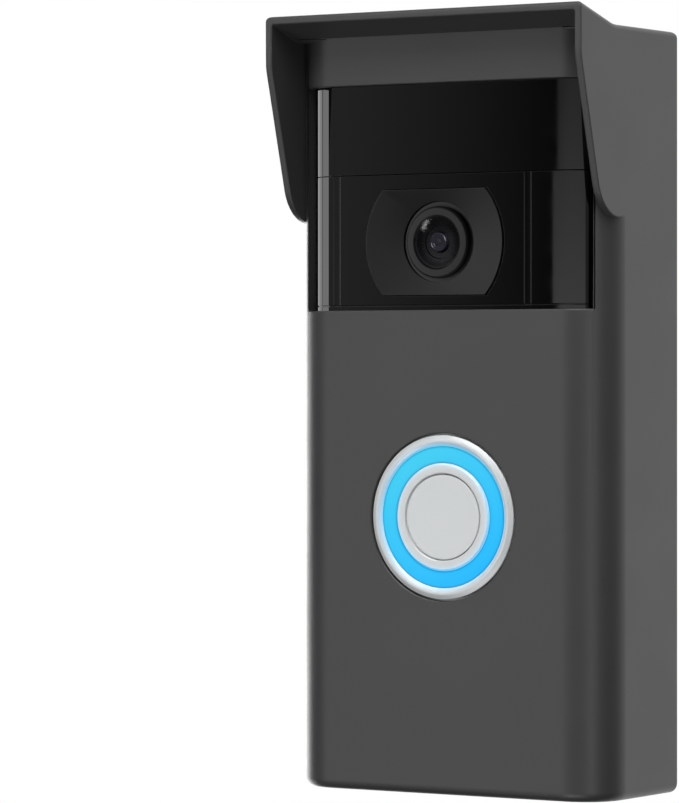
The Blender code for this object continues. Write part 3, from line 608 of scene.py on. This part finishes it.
def make_rain_hood():
    """A cover open at the back, with its visor, window and button hole, and ribs on its floor
    under the doorbell."""
    hood = join(hood_box(), visor_block())
    inside = u_section(HOOD_HALF - HOOD_SIDE, PANEL_FRONT + PANEL_WALL, HOOD_BACK + OVER,
                       BELL_CORNER + 0.25)
    cut(hood, prism("hood_inside", "Z", inside, HOOD_LOW + FLOOR_WALL, HOOD_HIGH - ROOF_WALL))
    window_depth = 12.0  # it opens the round corners too
    cut(hood, box("hood_window", (-WINDOW_HALF, PANEL_FRONT - OVER, WINDOW_LOW),
                  (WINDOW_HALF, PANEL_FRONT + window_depth, WINDOW_HIGH)))
    cut(hood, plug("hood_button_hole", BEZEL_RADIUS + GAP, PANEL_FRONT - OVER, PANEL_FRONT + 4,
                   BUTTON, 128))
    rib_spacing, rib_half = 20.0, 1.0
    for place_across in (-rib_spacing, 0.0, rib_spacing):
        join(hood, box("hood_rib",
                       (place_across - rib_half, PANEL_FRONT + 6.0, HOOD_LOW + FLOOR_WALL / 2),
                       (place_across + rib_half, HOOD_BACK - 4.0, BELL_LOW - GAP)))
    clean(hood)
    round_chosen(hood, 1.15, 5, on_roof_edge)
    round_edges(hood, 0.28)
    hold_inside(hood, HOOD_HALF)
    return place(hood, "rain_hood")


# ---------------------------------------------------------------- outer shells

def shell(name, low, high, floor=0.0, roof=0.0):
    """A wrap-round shell piece, open at the back, with a floor or a roof of that thickness."""
    outer = u_section(BELL_HALF, BELL_FRONT, BELL_BACK, BELL_CORNER)
    inner = u_section(BELL_HALF - SHELL_WALL, BELL_FRONT + SHELL_WALL, BELL_BACK + OVER,
                      BELL_CORNER - SHELL_WALL)
    piece = prism(name, "Z", outer, low, high)
    inner_low = low + floor if floor else low - OVER
    inner_high = high - roof if roof else high + OVER
    return cut(piece, prism("shell_inside", "Z", inner, inner_low, inner_high))


def make_faceplate():
    """The lower shell, with the button's hole in its front, and the security screws' holes and
    the speaker's slot in its floor."""
    plate = shell("faceplate_shell", BELL_LOW, shell_high.z, floor=SHELL_WALL)
    cut(plate, plug("faceplate_hole", SHELL_HOLE, BELL_FRONT - OVER, BELL_FRONT + 3, BUTTON))
    under, above = BELL_LOW - OVER, BELL_LOW + 3.0
    screw_hole, corners = 2.6, 24
    for node_name in ("security_screw_left", "security_screw_right"):
        low, high = span(node_name)
        middle = (low + high) / 2
        outline = arc((middle.x, middle.y), screw_hole, 0, 360 - 360 / corners, corners - 1)
        cut(plate, prism("faceplate_screw_hole", "Z", outline, under, above))
    slot_half, slot_front, slot_back = 10.0, -25.0, -23.6
    cut(plate, prism("faceplate_sound_slot", "Z",
                     rectangle(-slot_half, slot_half, slot_front, slot_back), under, above))
    clean(plate)
    return place(round_edges(plate, 0.3), "faceplate")


def make_upper_cap():
    """The part of the head above its seam."""
    cap = shell("upper_cap_shell", HEAD_SPLIT + SEAM / 2, cap_high.z, roof=SHELL_WALL)
    clean(cap)
    return place(round_edges(cap, 0.1), "upper_cap")


def make_camera_fascia():
    """The head round the lens plate, with fine lines in its face."""
    top = HEAD_SPLIT - SEAM / 2
    fascia = shell("camera_fascia_shell", fascia_low.z, top)
    cut(fascia, prism("fascia_lens_opening", "Y", lens_plate_outline(SEAM), BELL_FRONT - OVER,
                      BELL_FRONT + 3.0))
    # a fine line runs round the foot of the head
    line_half, line_depth = 0.11, 0.16
    foot = fascia_low.z + 2.3
    trench_back = BELL_BACK + 5.0
    trench = prism("fascia_foot_line", "Z",
                   u_section(BELL_HALF + OVER, BELL_FRONT - OVER, trench_back,
                             BELL_CORNER + OVER), foot - line_half, foot + line_half)
    cut(trench, prism("line_core", "Z",
                      u_section(BELL_HALF - line_depth, BELL_FRONT + line_depth,
                                trench_back + OVER, BELL_CORNER - line_depth),
                      foot - OVER, foot + OVER))
    cut(fascia, trench)
    # and a shallow channel goes up each side of the lens
    channel_half, channel_depth, slope = 0.75, 0.1, 0.08
    mouth, bed = BELL_FRONT - 0.05, BELL_FRONT + channel_depth
    for middle in (LENS.x - 21.3, LENS.x + 19.6):
        channel = [(middle - channel_half, mouth), (middle + channel_half, mouth),
                   (middle + channel_half - slope, bed), (middle - channel_half + slope, bed)]
        cut(fascia, prism("fascia_channel", "Z", channel, foot, top + OVER))
    clean(fascia)
    return place(round_edges(fascia, 0.05), "camera_fascia")


# ---------------------------------------------------------------- camera

def make_lens_plate():
    """A plate that dips evenly from its round sides to the lens in its middle."""
    front, back = plate_low.y, plate_high.y
    bore, beyond = 7.45, 0.8
    outside = LENS_PLATE_RADIUS + beyond
    fall = DISH_DEPTH / (LENS_PLATE_RADIUS - bore)
    plate = prism("lens_plate_disc", "Y", lens_plate_outline(), front, back)
    cut(plate, turned("lens_plate_dish",
                      [(0, front - OVER), (outside, front - OVER),
                       (outside, front - beyond * fall), (bore, front + DISH_DEPTH),
                       (bore, back + OVER), (0, back + OVER)], EYE, 128))
    clean(plate)
    return place(round_edges(plate, 0.1), "lens_plate")


def make_lens_pieces():
    """A low ring, clear of the plate, round a domed front glass with the first lens inside."""
    flange, outer, inner = 7.4, 6.6, 4.78
    crest = LENS.y + DISH_DEPTH - 0.65
    flange_front, ring_back = crest + 1.2, crest + 1.9
    ring = turned("lens_ring_moulding", soften(
        [(flange, ring_back), (flange, flange_front), (outer, flange_front),
         (outer, crest + 0.3), (6.25, crest + 0.03), (5.05, crest), (inner, crest + 0.15),
         (inner, ring_back)],
        [0, 0, 0, 0.2, 0.3, 0.15, 0.08, 0], steps=6), EYE, 128)
    place(ring, "lens_ring")

    dome_radius, thickness, steps = 13.0, 0.4, 12
    rim = inner - 0.05
    sweep = math.asin(rim / dome_radius)
    front = crest - 0.75
    outside = []
    for k in range(steps + 1):
        angle = sweep * k / steps
        outside.append((dome_radius * math.sin(angle),
                        front + dome_radius * (1 - math.cos(angle))))
    inside = [(radius, level + thickness) for radius, level in reversed(outside)]
    place(turned("camera_glass_dome", outside + inside, EYE, 128), "camera_glass")

    seat = inside[0][1] + 0.05
    barrel = [(rim, seat), (4.5, seat), (4.2, seat + 0.25), (3.0, seat + 0.5),
              (2.9, seat + 0.7), (1.95, seat + 0.85), (1.9, seat + 1.6), (rim, seat + 3.2)]
    place(turned("lens_barrel_cone", barrel, EYE), "lens_barrel", "barrel_black")

    lens_front, lens_radius = seat - 0.15, 1.75
    lens_back = lens_front + 1.4
    lens = soften([(0, lens_front), (0.42, lens_front + 0.03), (0.52, lens_front + 0.14),
                   (0.88, lens_front + 0.17), (0.98, lens_front + 0.07),
                   (1.32, lens_front + 0.1), (1.42, lens_front + 0.02),
                   (lens_radius, lens_front + 0.12), (lens_radius, lens_back), (0, lens_back)],
                  [0, 0.05, 0.05, 0.05, 0.05, 0.05, 0.05, 0.1, 0, 0], steps=3, closed=False)
    place(turned("lens_element_dome", lens, EYE), "lens_element", "element_glass")


# ---------------------------------------------------------------- button

def make_button_pieces():
    """The lit ring lies a little deeper than the silver on both sides of it."""
    face = PANEL_FRONT
    slope_width = 0.3
    rim, neck = BEZEL_RADIUS - 0.05, SHELL_HOLE - GAP
    rim_back, neck_front = face + 1.6, BELL_FRONT - GAP
    slope_foot, slope_top = GLOW_EDGES[1], GLOW_EDGES[1] + slope_width
    bezel = turned("button_bezel_ring", soften(
        [(slope_foot, face + 0.4), (slope_top, face + 0.02), (slope_top + 0.5, face - 0.2),
         (rim - 0.85, face - 0.22), (rim, face + 0.22), (rim, rim_back),
         (BEZEL_RADIUS, rim_back), (BEZEL_RADIUS, neck_front), (neck, neck_front),
         (neck, bezel_high.y), (slope_foot, bezel_high.y)],
        [0.05, 0.2, 0.4, 0.7, 0.12, 0, 0, 0, 0, 0, 0], steps=6), BUTTON, 160)
    place(bezel, "button_bezel", "silver_with_painted_glow")

    ring_front = face + 0.25
    glow = turned("light_ring_lens", soften(
        [(GLOW_INNER, ring_front + 0.1),
         ((GLOW_INNER + GLOW_OUTER) / 2, ring_front - 0.05),
         (GLOW_OUTER, ring_front + 0.1), (GLOW_OUTER, glow_high.y), (GLOW_INNER, glow_high.y)],
        [0.15, 4.0, 0.15, 0, 0], steps=6), BUTTON, 160)
    place(glow, "light_ring")

    lip, ledge = face + 0.02, face + 4.0
    well, skirt = PUSH_RADIUS + 0.12, 9.0
    surround_foot, surround_top = GLOW_EDGES[0], GLOW_EDGES[0] - slope_width
    surround = turned("button_surround_ring", soften(
        [(well, lip + 0.5), (PUSH_RADIUS + 0.3, lip), (surround_top, lip),
         (surround_foot, lip + 0.45), (surround_foot, surround_high.y), (skirt, surround_high.y),
         (skirt, ledge), (well, ledge)],
        [0.2, 0.2, 0.2, 0.05, 0, 0, 0, 0], steps=6), BUTTON, 128)
    place(surround, "button_surround", "silver_with_painted_glow")

    dish = face + 0.22
    flange, flange_front, flange_back, stem = 8.6, face + 4.3, face + 5.0, 1.6
    cap = turned("button_cap_dish", soften(
        [(0, dish + 0.08), (4.5, dish + 0.06), (PUSH_RADIUS - 0.5, dish - 0.02),
         (PUSH_RADIUS, dish), (PUSH_RADIUS, flange_front), (flange, flange_front),
         (flange, flange_back), (stem, flange_back), (stem, push_high.y), (0, push_high.y)],
        [0, 3.0, 0.4, 0.15, 0, 0.1, 0.1, 0, 0.1, 0], steps=5, closed=False), BUTTON, 128)
    place(cap, "button_cap")


# ---------------------------------------------------------------- pieces kept from the CAD shapes

def refine(node_name, radius):
    """A copy of a CAD node with its edges rounded."""
    piece = bpy.data.objects.new(f"{node_name}_finished", frame["nodes"][node_name].data.copy())
    bpy.context.scene.collection.objects.link(piece)
    clean(piece, merge=0.001)
    round_edges(piece, radius, segments=2, angle=50, clamp=True)
    return place(piece, node_name)


# the nodes with a shape of their own above
REBUILT = {"rain_hood", "faceplate", "upper_cap", "camera_fascia", "lens_plate", "lens_ring",
           "camera_glass", "lens_barrel", "lens_element", "button_bezel", "light_ring",
           "button_surround", "button_cap"}
# radius of the rounding on the edges of the other nodes, in millimetres
EDGE = {"mounting_bracket": 0.25, "rear_housing": 0.2, "battery_pack": 0.4}
FINE_EDGE = 0.08


make_rain_hood()
make_faceplate()
make_upper_cap()
make_camera_fascia()
make_lens_plate()
make_lens_pieces()
make_button_pieces()
for name in sorted(set(frame["nodes"]) - REBUILT):
    refine(name, EDGE.get(name, FINE_EDGE))


# ---------------------------------------------------------------- light, floor and camera

# pieces that have lights of their own
GROUPS = {"head": ("upper_cap", "camera_fascia"),
          "plate": ("lens_plate",),
          "ring": ("lens_ring",),
          "eye": ("camera_glass",),
          "barrel": ("lens_barrel",),
          "pupil": ("lens_element",)}
group = {name: bpy.data.collections.new(name) for name in (*GROUPS, "rest_of_object")}
group_of = {node_name: name for name, members in GROUPS.items() for node_name in members}
for collection in group.values():
    bpy.context.scene.collection.children.link(collection)
for piece in list(bpy.context.scene.collection.objects):
    if piece.type == "MESH" and piece.name not in frame["nodes"]:
        stands_for = piece["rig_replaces"][0]
        group[group_of.get(stands_for, "rest_of_object")].objects.link(piece)

CENTRE = Vector((0.0, -0.015, 0.003))  # what the lights aim at, in metres
CARD_DISTANCE = 1.2  # the cards stand behind the softboxes
CARD_REACH = 30  # degrees that they go up and down


def heading(azimuth, elevation):
    """Unit vector; azimuth 0 is the front, 90 the object's right-hand side (+X)."""
    a, e = math.radians(azimuth), math.radians(elevation)
    return Vector((math.sin(a) * math.cos(e), -math.cos(a) * math.cos(e), math.sin(e)))


def link_light(lamp, receivers):
    """The light falls on one group of pieces. If that is one of GROUPS, no other piece casts a
    shadow in it."""
    lamp.light_linking.receiver_collection = group[receivers]
    if receivers != "rest_of_object":
        lamp.light_linking.blocker_collection = group[receivers]


def softbox(name, azimuth, elevation, distance, width, height, radiance,
            receivers="rest_of_object"):
    """A rectangular light that faces the object and stays out of the camera's sight, with its
    place in degrees and its sizes in metres."""
    light = bpy.data.lights.new(name, "AREA")
    light.shape = "RECTANGLE"
    light.size, light.size_y = width, height
    light.energy = radiance * 4 * width * height  # an area light's radiance, turned into power
    lamp = bpy.data.objects.new(name, light)
    bpy.context.scene.collection.objects.link(lamp)
    direction = heading(azimuth, elevation)
    lamp.location = CENTRE + direction * distance
    lamp.rotation_euler = direction.to_track_quat("Z", "Y").to_euler()
    lamp.visible_camera = False
    link_light(lamp, receivers)


def glowing(name, corners, radiances, rise=None):
    """A staged card with the corners given anticlockwise from its lower left. Its radiance runs
    from its left edge to its right, or between two parts of its height, and falls on the head
    alone."""
    bm = bmesh.new()
    face = bm.faces.new([bm.verts.new(corner) for corner in corners])
    layer = bm.loops.layers.uv.new("card")
    for loop, uv in zip(face.loops, ((0, 0), (1, 0), (1, 1), (0, 1))):
        loop[layer].uv = uv
    mesh = bpy.data.meshes.new(name)
    bm.to_mesh(mesh)
    bm.free()
    card = bpy.data.objects.new(name, mesh)
    bpy.context.scene.collection.objects.link(card)
    made, tree, emission = emission_material(name)
    place_on = node(tree, "ShaderNodeUVMap", [("uv_map", "card")])
    parts = node(tree, "ShaderNodeSeparateXYZ", Vector=place_on.outputs["UV"])
    start, end = rise or (0.0, 1.0)
    run = node(tree, "ShaderNodeMapRange", Value=parts.outputs["Y" if rise else "X"],
               From_Min=start, From_Max=end, To_Min=radiances[0], To_Max=radiances[1])
    tree.links.new(run.outputs["Result"], emission.inputs["Strength"])
    mesh.materials.append(made)
    for ray in ("visible_camera", "visible_diffuse", "visible_shadow"):
        setattr(card, ray, False)
    link_light(card, "head")


def far_card(name, azimuths, radiances, rise=None):
    """A card that stands between two azimuths and faces the object."""
    half_height = CARD_DISTANCE * math.tan(math.radians(CARD_REACH))
    middle = sum(azimuths) / 2
    half_width = CARD_DISTANCE * math.tan(math.radians((azimuths[1] - azimuths[0]) / 2))
    out, right = heading(middle, 0.0), heading(middle + 90, 0.0)
    corners = [CENTRE + out * CARD_DISTANCE + right * (side * half_width)
               + Vector((0, 0, level * half_height))
               for side, level in ((-1, -1), (1, -1), (1, 1), (-1, 1))]
    glowing(name, corners, radiances, rise)


def window_card():
    """A narrow card inside the window's left edge, which lights the head's left corner."""
    x = -WINDOW_HALF + 0.05
    front, back = PANEL_FRONT - 1.8, BELL_FRONT + 3.0
    low, high = WINDOW_LOW + 0.1, WINDOW_HIGH - 0.1
    corners = [Vector(spot) * MM for spot in ((x, front, low), (x, back, low), (x, back, high),
                                              (x, front, high))]
    glowing("head_corner", corners, (3.4, 1.05))


def make_world():
    """White to the camera and behind the object, dim in front of it."""
    world = bpy.data.worlds.new("studio")
    bpy.context.scene.world = world
    world.use_nodes = True
    tree = world.node_tree
    tree.nodes.clear()
    direction = node(tree, "ShaderNodeTexCoord").outputs["Generated"]
    parts = node(tree, "ShaderNodeSeparateXYZ", Vector=direction)
    behind = node(tree, "ShaderNodeMapRange", [("interpolation_type", "SMOOTHSTEP")],
                  Value=parts.outputs["Y"], From_Min=0.35, From_Max=0.85,
                  To_Min=0.04, To_Max=1.5)
    dim = node(tree, "ShaderNodeBackground", Strength=behind.outputs["Result"])
    white = node(tree, "ShaderNodeBackground", Strength=1.0)
    white.inputs["Color"].default_value = (1, 1, 1, 1)
    path = node(tree, "ShaderNodeLightPath")
    mix = node(tree, "ShaderNodeMixShader", i0=path.outputs["Is Camera Ray"],
               i1=dim.outputs[0], i2=white.outputs[0])
    output = node(tree, "ShaderNodeOutputWorld")
    tree.links.new(mix.outputs[0], output.inputs["Surface"])


def make_floor():
    """A white floor under the object, which the camera alone sees."""
    half = 1.5 / MM
    floor = prism("studio_floor", "Z", rectangle(-half, half, -half, half),
                  HOOD_LOW - 2.0, HOOD_LOW - 0.5)
    floor.data.materials.append(emission_material("studio_floor")[0])
    for ray in ("visible_diffuse", "visible_glossy", "visible_transmission", "visible_shadow"):
        setattr(floor, ray, False)


def make_camera():
    """The camera stands level, to the right of the object's front, with a long lens."""
    azimuth = math.radians(32.754)
    distance, aside, height = 813.95, 18.65, 76.54
    aim = Vector((0.0, PANEL_FRONT, HOOD_LOW + height))
    forward = Vector((-math.sin(azimuth), math.cos(azimuth), 0.0))
    right = Vector((math.cos(azimuth), math.sin(azimuth), 0.0))
    data = bpy.data.cameras.new("camera")
    data.sensor_width = 36.0
    data.lens = 200.47
    data.shift_y = -0.033
    data.clip_start, data.clip_end = 0.01, 20.0
    camera = bpy.data.objects.new("camera", data)
    bpy.context.scene.collection.objects.link(camera)
    camera.location = (aim - forward * distance - right * aside) * MM
    camera.rotation_euler = (math.pi / 2, 0.0, azimuth)
    bpy.context.scene.camera = camera


# name, azimuth, elevation, distance, width, height, radiance and the group that it lights
softbox("key", -30, 0, 0.9, 0.35, 0.9, 1.26)
softbox("front_high", 10, 55, 0.9, 0.9, 0.6, 3.2)
softbox("front_low", 0, -45, 0.9, 0.6, 0.4, 2.1)
softbox("strip", 48, 5, 0.9, 0.22, 1.1, 1.6)
softbox("left_rim", -120, 0, 0.9, 0.7, 1.1, 3.2)
softbox("side_fill", 100, 35, 1.0, 0.5, 0.5, 1.0)
softbox("overhead", 0, 70, 0.9, 0.7, 0.5, 1.5)
softbox("head_top", -33, 50, 0.6, 0.6, 0.3, 1.5, "head")
# name, azimuths of the two edges and radiance at them, or, with rise, radiance below and above
# that part of the card's height
far_card("head_left", (-130.0, -56.0), (0.7, 2.4))
far_card("head_middle", (-56.0, -33.5), (0.3, 0.36))
far_card("head_dark", (-33.5, -28.75), (0.36, 0.05))
far_card("head_front", (-28.9, 44.0), (1.0, 0.38), rise=(0.527, 0.61))
far_card("head_right", (44.0, 110.0), (0.3, 0.2))
window_card()
softbox("plate_top", -50, 60, 0.6, 0.5, 0.5, 1.5, "plate")
softbox("plate_left", -62, 14, 0.6, 0.4, 0.4, 1.05, "plate")
softbox("plate_fill", -14, 16, 0.6, 0.3, 0.3, 0.6, "plate")
softbox("ring_left", -45, 5, 0.6, 0.5, 0.5, 0.98, "ring")
softbox("ring_low", -5, -25, 0.6, 0.4, 0.4, 0.5, "ring")
softbox("eye_spark", -58, 25, 0.6, 0.08, 0.12, 1.9, "eye")
softbox("barrel_fill", -30, 20, 0.6, 0.4, 0.4, 1.2, "barrel")
softbox("pupil_fill", 20, 30, 0.6, 0.4, 0.4, 4.2, "pupil")
make_world()
make_floor()
make_camera()
bpy.context.scene.view_settings.view_transform = "Standard"
